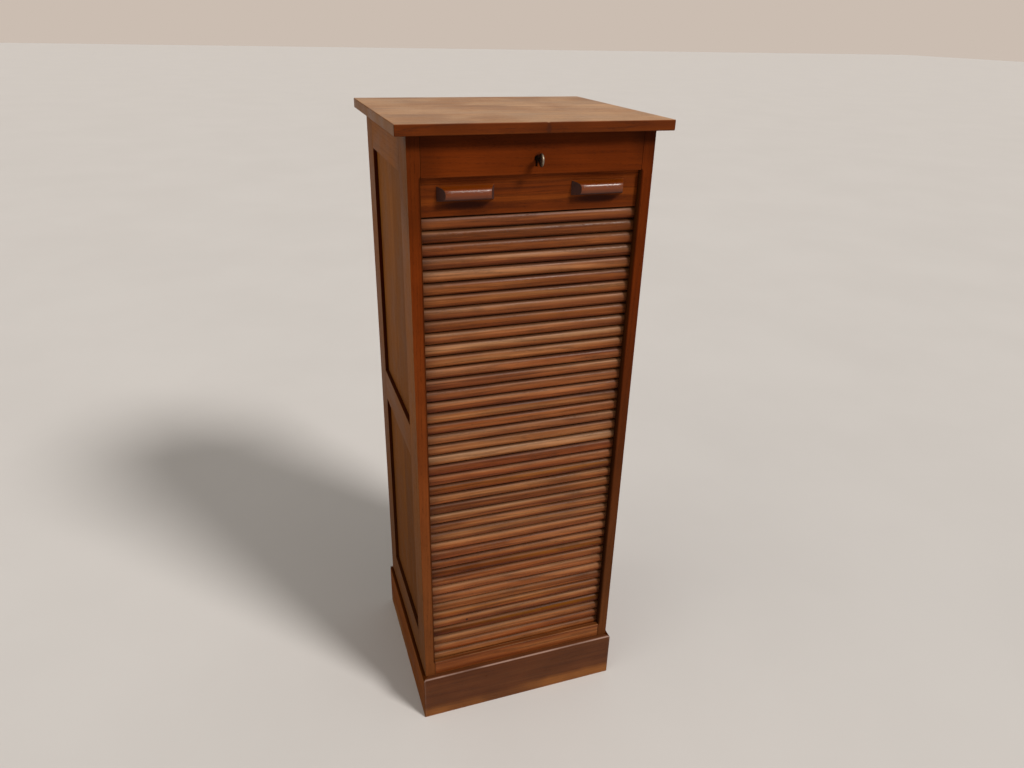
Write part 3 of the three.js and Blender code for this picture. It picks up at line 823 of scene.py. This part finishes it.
def piece_from(bm, name, finish, body):
    """Turns a BMesh into a piece that rides on a body, with its faces smooth and flats kept flat."""
    for face in bm.faces:
        face.smooth = True
    for edge in bm.edges:
        if edge.is_manifold and edge.calc_face_angle() > CREASE_ANGLE:
            edge.smooth = False
    mesh = bpy.data.meshes.new(name)
    bm.to_mesh(mesh)
    bm.free()
    mesh.materials.append(finish)
    piece = bpy.data.objects.new(name, mesh)
    bpy.context.scene.collection.objects.link(piece)
    normals = piece.modifiers.new("normals", "WEIGHTED_NORMAL")
    normals.keep_sharp = True
    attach(piece, body)
    return piece


body_of = {
    node: body
    for body, members in frame["record"]["behaviour"]["bodies"].items()
    for node in members
}
slot_of = {row["node"]: row["material_slot"] for row in frame["record"]["subparts"]}


def replace(node, bm, finish=None, name=None):
    """Puts a piece in the place of a CAD node, on its body, with its slot's finish or another."""
    slot = slot_of[node]
    piece = piece_from(bm, name or "finished_" + node, finishes[finish or slot], body_of[node])
    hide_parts(node)
    return piece


def board(node, grain, arris=ARRIS, joint=JOINT_ARRIS, finish=None, shape=None, shortest=0.0, **shades):
    """Replaces a CAD board by a copy with softened edges and its own grain."""
    bm = copy_of(node)
    if shape:
        shape(bm)
    axis = AXES[grain]
    soften(bm, axis, arris, joint, max(shortest, PIERCED.get(node, 0.0)))
    write_grain(bm, axis, random.Random(node), **shades)
    replace(node, bm, finish)


def plate(node, arris):
    """Replaces a CAD metal part by a copy with softened edges."""
    bm = copy_of(node)
    soften(bm, None, arris, arris, PIERCED.get(node, 0.0))
    replace(node, bm)


def round_opening(bm):
    """Rounds a front stile's arris along the opening, and leaves it sharp beside the rails."""
    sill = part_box("front_sill_rail")[1].z + OPENING_STOP
    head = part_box("front_top_rail")[0].z - OPENING_STOP
    front = min(vert.co.y for vert in bm.verts)
    inner = min(abs(vert.co.x) for vert in bm.verts)
    for height in (sill, head):
        cut_across(bm, AXES["z"], height)

    def on_arris(vert):
        beside = abs(abs(vert.co.x) - inner) < NEAR and abs(vert.co.y - front) < NEAR
        return beside and sill - NEAR < vert.co.z < head + NEAR

    edges = [edge for edge in bm.edges if all(on_arris(vert) for vert in edge.verts)]
    round_edges(bm, edges, OPENING_ROUND, OPENING_STEPS, clamp=False)


def edge_dirt_and_shade(co, normal):
    """Dirt and painted shade on the faces that look up or down, in the gaps over and under a rail."""
    return GAP_DIRT_AND_SHADE if abs(normal.z) > LOOKS else 0.0


def darker_corners(co, normal):
    """Darker on the rounded upright corners."""
    return CORNER_DARKENING * fade(abs(normal.x * normal.y), 0.05, 0.3)


def ledge_dirt_and_shade(co, normal):
    """Dirt and painted shade on a side plinth's rounded upper edge, against the frame."""
    return LEDGE_DIRT_AND_SHADE * fade(normal.z, 0.1, 0.6)


def inward(co, normal):
    """How much a face looks towards the cabinet's middle, along X."""
    return -normal.x * math.copysign(1, co.x)


def front_stile_dirt_and_shade(co, normal):
    """Dirt and painted shade on a front stile's inner faces, from their arris back, and where it meets a
    panel.
    """
    if abs(co.x) < GROOVE_SIDE:
        return GAP_DIRT_AND_SHADE + DEEP_DIRT_AND_SHADE * fade(co.y, *GROOVE_DIRT_AND_SHADE)
    behind = GAP_DIRT_AND_SHADE if normal.y > LOOKS else 0.0
    return max(STILE_DIRT_AND_SHADE * fade(inward(co, normal), 0.1, 0.8), behind)


def rear_stile_dirt_and_shade(co, normal):
    """Dirt and painted shade where a rear stile meets a side panel or a back panel."""
    return GAP_DIRT_AND_SHADE if max(-normal.y, inward(co, normal)) > LOOKS else 0.0


def pull_dirt_and_shade(co, normal):
    """Hand dirt and painted shade on a pull's ends and underside."""
    return PULL_END_DIRT_AND_SHADE * max(fade(abs(normal.x), 0.4, 0.8), fade(-normal.z, 0.2, 0.7))


def outer_boards():
    """The carcase as it shows from outside, with the lead rail."""
    board(
        "top_board", "x", arris=TOP_ARRIS, joint=TOP_END, cuts=(0.3, 0.62, 0.93), free_ends=True,
        spread=0.12, grime=darker_corners,
    )
    for side in ("front", "back"):
        board("plinth_" + side, "x", joint=PLINTH_END, free_ends=True, spread=0.1, grime=darker_corners)
    for side in ("left", "right"):
        board(
            "plinth_" + side, "y", joint=PLINTH_END, finish="side_plinth_oak", free_ends=True,
            spread=0.1, grime=ledge_dirt_and_shade,
        )
        board(side + "_rear_stile", "z", tone=-0.3, spread=0.1, grime=rear_stile_dirt_and_shade)
    for side, tone in (("left", 0.12), ("right", -0.3)):
        board(
            side + "_front_stile", "z", shape=round_opening, shortest=SHORTEST_ON_STILE,
            tone=tone, spread=0.1, grime=front_stile_dirt_and_shade,
        )
    for side, grain in (("left", "y"), ("right", "y"), ("back", "x")):
        for height in ("bottom", "middle", "top"):
            board(f"{side}_{height}_rail", grain, grime=edge_dirt_and_shade)
        for height in ("lower", "upper"):
            board(f"{side}_{height}_panel", "z", arris=0, joint=0, cuts=(0.46,))
    board("front_top_rail", "x", joint=0, tone=-0.09, spread=0.05)
    board("front_sill_rail", "x", finish="slat_oak", tone=-0.4, warmth=0.1, spread=0.1)
    board("lead_rail", "x", finish="streaky_oak", spread=0.1, grime=edge_dirt_and_shade)


def inner_boards():
    """The boards inside the carcase: floor, shelves, cleats, battens, tracks and inner back."""
    board("floor_board", "x", cuts=(0.5,))
    shelves = (1, 2, 3)
    for index in shelves:
        board(f"shelf_{index}", "x", cuts=(0.5,))
    for side in ("left", "right"):
        board("floor_cleat_" + side, "y")
        board(side + "_top_batten", "y")
        board(side + "_track", "y", arris=0, joint=0)
        for index in shelves:
            board(f"shelf_cleat_{index}_{side}", "y")
    board("inner_back", "z", arris=FINE_ARRIS)


def smoothed(corners, rounds):
    """A closed outline with its corners cut again and again, except for the first and the last."""
    for _ in range(rounds):
        cut = [corners[0]]
        for first, second in zip(corners, corners[1:]):
            cut.append(tuple(0.75 * a + 0.25 * b for a, b in zip(first, second)))
            cut.append(tuple(0.25 * a + 0.75 * b for a, b in zip(first, second)))
        cut.append(corners[-1])
        corners = cut
    return corners


def pull(node):
    """A finger pull: a bar with a rounded brow, sloped ends and a hollow under it for the fingers."""
    low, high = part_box(node)
    deep = high.y - low.y
    tall = high.z - low.z
    half = (high.x - low.x) / 2
    centre = (low.x + high.x) / 2
    outline = [(out * deep, up * tall) for out, up in smoothed(PULL_OUTLINE, PULL_ROUNDS)]
    bm = bmesh.new()
    rings = []
    for station in range(PULL_STATIONS + 1):
        share = 2 * station / PULL_STATIONS - 1
        end = fade(abs(share), PULL_TAPERS_FROM, 1.0)
        shrink = 1 - PULL_TAPER * end * end
        ring = []
        for out, up in outline:
            x = centre + share * (half - PULL_SLOPE * out / deep)
            ring.append(bm.verts.new((x, high.y - out * shrink, low.z + tall / 2 + (up - tall / 2) * shrink)))
        rings.append(ring)
    loft(bm, rings)
    bmesh.ops.recalc_face_normals(bm, faces=bm.faces)

    def darkened(co, normal):
        """The pull's hand dirt and painted shade, with painted shade that grows towards its foot."""
        return max(pull_dirt_and_shade(co, normal), PULL_FOOT_SHADE * (1 - fade((co.z - low.z) / tall, 0.1, 0.65)))

    ends = [edge for edge in bm.edges if edge.is_convex and edge.calc_face_angle() > CREASE_ANGLE]
    round_edges(bm, ends, PULL_ARRIS, 3)
    write_grain(bm, AXES["x"], random.Random(node), free_ends=True, grime=darkened)
    replace(node, bm, "handled_oak")


def add_ring(bm, centre, radii, rim, thickness):
    """The key's bow: an upright oval ring of rounded section, across X."""
    section = []
    for step in range(BOW_SECTION_STEPS):
        angle = 2 * math.pi * step / BOW_SECTION_STEPS
        across = math.copysign(abs(math.cos(angle)) ** 0.6, math.cos(angle)) * rim / 2
        out = math.copysign(abs(math.sin(angle)) ** 0.7, math.sin(angle)) * thickness / 2
        section.append((across, out))
    rings = []
    for side in range(BOW_SIDES):
        angle = 2 * math.pi * side / BOW_SIDES
        ring = []
        for across, out in section:
            reach = [radius - rim / 2 + across for radius in radii]
            place = (out, centre[1] + reach[0] * math.cos(angle), centre[2] + reach[1] * math.sin(angle))
            ring.append(bm.verts.new(place))
        rings.append(ring)
    loft(bm, rings[::-1], closed=True)


def add_turned(bm, height, outline):
    """A turned rod along Y at a height. Its outline is a list of places and radii."""
    rings = []
    for place, radius in outline:
        ring = []
        for side in range(SHANK_SIDES):
            angle = 2 * math.pi * side / SHANK_SIDES
            ring.append(bm.verts.new((radius * math.cos(angle), place, height + radius * math.sin(angle))))
        rings.append(ring)
    loft(bm, rings[::-1])


def add_bit(bm, height):
    """The key's bit, with a ward cut in its lower edge."""
    front, rear = KEY_BIT
    side = (rear - front) * WARD_SIDE
    low = height - KEY_BIT_REACH
    ward = low + WARD_RISE * KEY_BIT_REACH
    outline = [
        (front, height), (rear, height), (rear, low), (rear - side, low), (rear - side, ward),
        (front + side, ward), (front + side, low), (front, low),
    ]
    walls = []
    for x in (-KEY_BIT_WIDTH / 2, KEY_BIT_WIDTH / 2):
        walls.append([bm.verts.new((x, y, z)) for y, z in outline])
    loft(bm, walls)


def key():
    """A nickelled key with an oval bow, a collared shank and a bit."""
    low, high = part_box("key")
    radii = (KEY_BOW_LENGTH / 2, KEY_BOW_HEIGHT / 2)
    bow_rear = low.y + KEY_BOW_LENGTH
    axis = high.z - radii[1]
    bm = bmesh.new()
    add_ring(bm, (0, low.y + radii[0], axis), radii, KEY_RIM, KEY_THICKNESS)
    shank = [(bow_rear + place, radius) for place, radius in KEY_SHANK]
    tip = [(high.y - place, radius) for place, radius in KEY_TIP]
    add_turned(bm, axis, shank + tip)
    add_bit(bm, axis)
    bmesh.ops.recalc_face_normals(bm, faces=bm.faces)
    soften(bm, None, KEY_ARRIS, KEY_ARRIS)
    replace("key", bm)


def fittings():
    """The finger pulls, the lock's parts and the key."""
    for side in ("left", "right"):
        pull(side + "_pull")
    plate("lock_case", FINE_ARRIS)
    plate("lock_bolt", FINE_ARRIS)
    plate("strike_plate", STRIKE_ARRIS)
    key()


def slat_profile(height):
    """Points round one slat, from its lower back to its upper back.

    Each is how far it lies back from the front, and how far up from the middle.
    """
    half = height / 2
    front = []
    for step in range(CROWN_STEPS + 1):
        angle = math.pi * (step / CROWN_STEPS - 0.5)
        front.append((SLAT_CROWN * (1 - math.cos(angle)), half * math.sin(angle)))
    return [(SLAT_DEPTH, -half)] + front + [(SLAT_DEPTH, half)]


def slat_grime(reach, level, groove_dirt_and_shade, groove_darkness):
    """Dirt and painted shade near a slat's ends, and in the grooves over and under it.

    Reach is the distance from the nearer end, and level goes from -1 at the slat's foot to 1 at its top.
    The groove's dirt and painted shade is how much lies in the groove under it, and the groove darkness, less
    for the lowest slats, scales that in the groove over it.
    """
    ends = max(share * (1 - fade(reach, *limits)) for share, *limits in END_DIRT_AND_SHADE)
    foot = groove_dirt_and_shade * fade(-level, *FOOT_LEVELS)
    head = HEAD_DIRT_AND_SHADE * groove_darkness * fade(level, *HEAD_LEVELS)
    return max(ends, foot, head)


def add_slat(bm, layers, span, top, height, rng, tone, warmth):
    """One slat between two places along X, with its top at a height."""
    low, high = span
    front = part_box("tambour_1")[0].y
    lean = rng.uniform(-SLAT_LEAN, SLAT_LEAN)
    groove_darkness = LEAST_GROOVE_DARKNESS + (1 - LEAST_GROOVE_DARKNESS) * fade(top, *DARKER_GROOVE_HEIGHTS)
    groove_dirt_and_shade = rng.uniform(LEAST_DIRT_AND_SHADE, 1.0) * groove_darkness
    shrink = rng.uniform(0.0, SLAT_SHRINK)
    top -= 0.3 * shrink
    height -= shrink
    middle = top - height / 2
    phase = rng.uniform(0, 100)
    shift, seed = place_in_log(rng)

    def wander(x, pace, lane):
        """Smooth noise along this slat. Each lane is a noise of its own."""
        return noise.noise(Vector((x * pace, phase, lane)))

    rings = []
    for station in range(SLAT_STATIONS + 1):
        x = low + (high - low) * station / SLAT_STATIONS
        bow = SLAT_BOW * (1 + wander(x, 9, 0))
        sway = SLAT_SWAY * wander(x, 7, 5)
        twist = lean + SLAT_TWIST * wander(x, 6, 9)
        ring = []
        for back, up in slat_profile(height):
            depth = back + bow
            if back < SLAT_DEPTH:
                depth += twist * up
            ring.append(bm.verts.new((x, front + min(SLAT_DEPTH, depth), middle + up + sway)))
        rings.append(ring)
    for face in loft(bm, rings):
        for loop in face.loops:
            co = loop.vert.co
            darkened = min(1.0, groove_dirt_and_shade * (0.85 + 0.5 * wander(co.x, 5, 17)))
            reach = min(co.x - low, high - co.x)
            level = (co.z - middle) / (height / 2)
            write_corner(
                loop, layers, grain=shift + Vector((co.x, co.z - top, co.y - front)), seed=seed,
                local=(0, co.z - middle, 0), half=(HIDDEN_END, height / 2 - SLAT_LIP, 0),
                tone=tone, warmth=warmth, grime=slat_grime(reach, level, darkened, groove_darkness),
            )


def canvas_mesh(low, high, rear):
    """A thin closed cloth with slight ripples, between two heights and with its back at a place along Y."""
    bm = bmesh.new()
    rows = math.ceil((high - low) / CANVAS_STEP)
    sheets = []
    for depth in (rear - CANVAS_THICKNESS, rear):
        grid = []
        for row in range(rows + 1):
            line = []
            for column in range(CANVAS_COLUMNS + 1):
                x = CANVAS_HALF_WIDTH * (2 * column / CANVAS_COLUMNS - 1)
                z = low + (high - low) * row / rows
                ripple = CANVAS_RIPPLE * noise.noise(Vector((x * 40, z * 40, 0)))
                line.append(bm.verts.new((x, depth - abs(ripple), z)))
            grid.append(line)
        sheets.append(grid)
    for sheet, turned in zip(sheets, (False, True)):
        for lower, upper in zip(sheet, sheet[1:]):
            for column in range(CANVAS_COLUMNS):
                corners = [lower[column], lower[column + 1], upper[column + 1], upper[column]]
                bm.faces.new(reversed(corners) if turned else corners)
    front, back = sheets
    rims = [
        (front[0], back[0]),
        (front[-1], back[-1]),
        ([line[0] for line in front], [line[0] for line in back]),
        ([line[-1] for line in front], [line[-1] for line in back]),
    ]
    for first, second in rims:
        for index in range(len(first) - 1):
            bm.faces.new((first[index], first[index + 1], second[index + 1], second[index]))
    bmesh.ops.recalc_face_normals(bm, faces=bm.faces)
    return bm


def shutter():
    """The slats in their sections, and the canvas that joins them."""
    sections = sorted(node for node in frame["nodes"] if node.startswith("tambour_"))
    boxes = [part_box(section) for section in sections]
    tail = min(low.z for low, high in boxes)
    top = max(high.z for low, high in boxes)

    def folded(piece):
        """Gives a piece a mesh of its own."""
        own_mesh(piece)

    rng = random.Random(SLAT_SEED)
    slats = []
    for section, (low, high) in zip(sections, boxes):
        pitch = (high.z - low.z + SLAT_GAP) / SLATS_PER_SECTION
        bm = bmesh.new()
        layers = new_layers(bm)
        for index in range(SLATS_PER_SECTION):
            slat_top = high.z - pitch * index
            shade = (rng.uniform(*SLAT_TONES), rng.uniform(*SLAT_WARMTHS))
            tone, warmth = ODD_SLATS.get(len(slats) * SLATS_PER_SECTION + index, shade)
            tone -= DARKEST * (1 - fade(slat_top, *DARKER_SLATS))
            add_slat(bm, layers, (low.x, high.x), slat_top, pitch - SLAT_GAP, rng, tone, warmth)
        bmesh.ops.recalc_face_normals(bm, faces=bm.faces)
        piece = replace(section, bm, name="slats_" + section.split("_")[1])
        folded(piece)
        slats.append(piece.name)

    canvas = piece_from(canvas_mesh(tail, top, boxes[0][1].y), "shutter_canvas", canvas_cloth(), "carcase")
    folded(canvas)


def soft_sun(name, direction, strength, angle, colour):
    """A lamp far away in one direction. The wider its angle, the softer its shadows."""
    lamp = bpy.data.lights.new(name, "SUN")
    lamp.energy = strength
    lamp.angle = angle
    lamp.color = colour
    light = bpy.data.objects.new(name, lamp)
    bpy.context.scene.collection.objects.link(light)
    light.rotation_euler = Vector(direction).to_track_quat("Z", "Y").to_euler()


def studio_floor():
    """A wide pale floor."""
    g = Graph(bpy.data.materials.new("studio_floor"))
    place = g.place()
    cloudy = g.noise(place, 1.3, 4.0, 0.6)
    specks = g.noise(place, 60.0, 2.0, 0.5)
    finish = g.surface(
        Base_Color=g.mix(g.ranged(cloudy, 0.3, 0.7), *screens((202, 197, 193), (205, 200, 196))),
        Roughness=g.ranged(cloudy, 0.3, 0.7, 0.6, 0.66),
        Specular_IOR_Level=0.2,
        Normal=g.bump(specks, SPECK_DEPTH, 0.3),
    )
    reach = FLOOR_REACH
    corners = [(-reach, -reach, 0), (reach, -reach, 0), (reach, reach, 0), (-reach, reach, 0)]
    mesh = bpy.data.meshes.new("studio_floor")
    mesh.from_pydata(corners, [], [(0, 1, 2, 3)])
    mesh.materials.append(finish)
    floor = bpy.data.objects.new("studio_floor", mesh)
    bpy.context.scene.collection.objects.link(floor)
    floor.location.z = cad_bounds[0].z - FLOOR_DROP


def studio_sky():
    """Soft light from all sides, and a pale backdrop for the camera and for reflections."""
    world = bpy.data.worlds.new("studio")
    bpy.context.scene.world = world
    g = Graph(world)
    path = g.node("LightPath", {}).outputs
    direct = g.math("MAXIMUM", path["Is Camera Ray"], path["Is Glossy Ray"])
    seen = g.math("MAXIMUM", direct, path["Is Transmission Ray"])
    sky = g.node("Background", {"Color": SKY_COLOUR, "Strength": SKY_STRENGTH})
    backdrop = g.node("Background", {"Color": screen(203, 189, 177), "Strength": 1.0})
    both = g.node("MixShader", {0: seen, 1: sky.outputs[0], 2: backdrop.outputs[0]})
    g.node("OutputWorld", {"Surface": both.outputs[0]})


def photo_camera():
    """A camera in the photograph's place."""
    camera = bpy.data.cameras.new("photo_camera")
    camera.sensor_width = SENSOR_WIDTH
    camera.lens = CAMERA_LENS
    holder = bpy.data.objects.new("photo_camera", camera)
    bpy.context.scene.collection.objects.link(holder)
    holder.location = CAMERA_PLACE
    facing = (Vector(CAMERA_AIM) - Vector(CAMERA_PLACE)).to_track_quat("-Z", "Y")
    holder.rotation_mode = "QUATERNION"
    holder.rotation_quaternion = facing @ Matrix.Rotation(CAMERA_ROLL, 4, "Z").to_quaternion()
    bpy.context.scene.camera = holder


photo_camera()
studio_floor()
studio_sky()
for lamp_name, lamp_settings in LAMPS.items():
    soft_sun(lamp_name, *lamp_settings)
make_finishes()
outer_boards()
inner_boards()
fittings()
shutter()

bpy.context.scene.view_settings.view_transform = "Standard"
